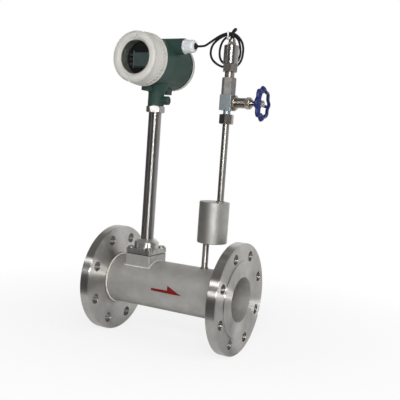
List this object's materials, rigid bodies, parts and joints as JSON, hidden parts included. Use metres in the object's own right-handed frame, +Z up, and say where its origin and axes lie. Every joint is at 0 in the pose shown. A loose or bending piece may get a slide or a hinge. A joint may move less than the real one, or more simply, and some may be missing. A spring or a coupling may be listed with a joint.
{
  "type": "vortex flow meter",
  "caption": "Vortex flow meter with a flanged measuring tube, a display head on a tall stem, and a pressure transmitter with a needle valve on a siphon pot.",
  "frame": {"origin": "centre of the inlet bolt circle, on the inlet flange's bolting face", "axes": "+X along the pipe in the flow direction, +Z up the stem, the display faces -Y"},
  "size_m": [0.296, 0.2, 0.5734],
  "materials": {
    "satin_steel": "satin",
    "bright_steel": "polished",
    "green_paint": "satin",
    "cream_paint": "satin",
    "window": "clear",
    "display_glass": "gloss",
    "dark_plastic": "matte",
    "white_plastic": "matte",
    "black_rubber": "matte",
    "board_green": "matte",
    "brass": "satin",
    "wheel_blue": "gloss"
  },
  "bodies": {
    "meter": {"inlet_flange": "satin_steel", "outlet_flange": "satin_steel", "measuring_tube": "satin_steel", "weld_beads": "bright_steel", "bluff_body": "satin_steel", "sensor_probe": "bright_steel", "sensor_pad": "satin_steel", "sensor_gasket": "black_rubber", "clamp_plate": "bright_steel", "plate_bolts": "bright_steel", "plate_washers": "bright_steel", "stem_tube": "bright_steel", "jam_nut": "bright_steel", "converter_housing": "green_paint", "neck_set_screw": "bright_steel", "cover_lock_screws": "bright_steel", "display_tray": "dark_plastic", "display_panel": "display_glass", "display_board": "board_green", "board_posts": "brass", "tray_screws": "bright_steel", "terminal_block": "dark_plastic", "terminal_screws": "brass", "entry_plug": "bright_steel", "gland_body": "white_plastic", "gland_nut": "white_plastic", "gland_seal": "black_rubber", "signal_cable": "black_rubber", "cable_tie": "white_plastic", "tap_pipe": "satin_steel", "siphon_pot": "satin_steel", "riser_pipe": "satin_steel", "union_nut": "bright_steel", "ferrule": "brass", "valve_body": "satin_steel", "valve_bonnet": "satin_steel", "valve_packing": "white_plastic", "packing_nut": "satin_steel", "transmitter_connector": "bright_steel", "transmitter_base": "bright_steel", "transmitter_case": "bright_steel", "transmitter_cap": "bright_steel", "cable_boot": "black_rubber"},
    "front_seal": {"front_cover_seal": "black_rubber"},
    "front_lid": {"front_cover": "cream_paint", "window_glass": "window", "glass_retainer": "dark_plastic"},
    "rear_seal": {"rear_cover_seal": "black_rubber"},
    "rear_lid": {"rear_cover": "cream_paint"},
    "needle": {"valve_needle": "bright_steel"},
    "wheel": {"valve_stem": "bright_steel", "handwheel": "wheel_blue", "handwheel_nut": "bright_steel"}
  },
  "joints": [
    {"name": "front_cover_travel", "type": "slide", "parent": "meter", "child": "front_seal", "axis": [0, -1, 0], "range_m": [0, 0.01]},
    {"name": "front_cover_turn", "type": "hinge", "parent": "front_seal", "child": "front_lid", "pos_m": [0.075, -0.06, 0.411], "axis": [0, -1, 0], "range_deg": [0, 1800]},
    {"name": "rear_cover_travel", "type": "slide", "parent": "meter", "child": "rear_seal", "axis": [0, 1, 0], "range_m": [0, 0.008]},
    {"name": "rear_cover_turn", "type": "hinge", "parent": "rear_seal", "child": "rear_lid", "pos_m": [0.075, 0.06, 0.411], "axis": [0, 1, 0], "range_deg": [0, 1440]},
    {"name": "needle_travel", "type": "slide", "parent": "meter", "child": "needle", "axis": [1, 0, 0], "range_m": [0, 0.004]},
    {"name": "handwheel_turn", "type": "hinge", "parent": "needle", "child": "wheel", "pos_m": [0.29, 0, 0.3425], "axis": [1, 0, 0], "range_deg": [0, 1440]}
  ],
  "couplings": [
    {"joint": "front_cover_travel", "follows": "front_cover_turn", "m_per_rad": 0.00031831},
    {"joint": "rear_cover_travel", "follows": "rear_cover_turn", "m_per_rad": 0.00031831},
    {"joint": "needle_travel", "follows": "handwheel_turn", "m_per_rad": 0.00015915}
  ]
}
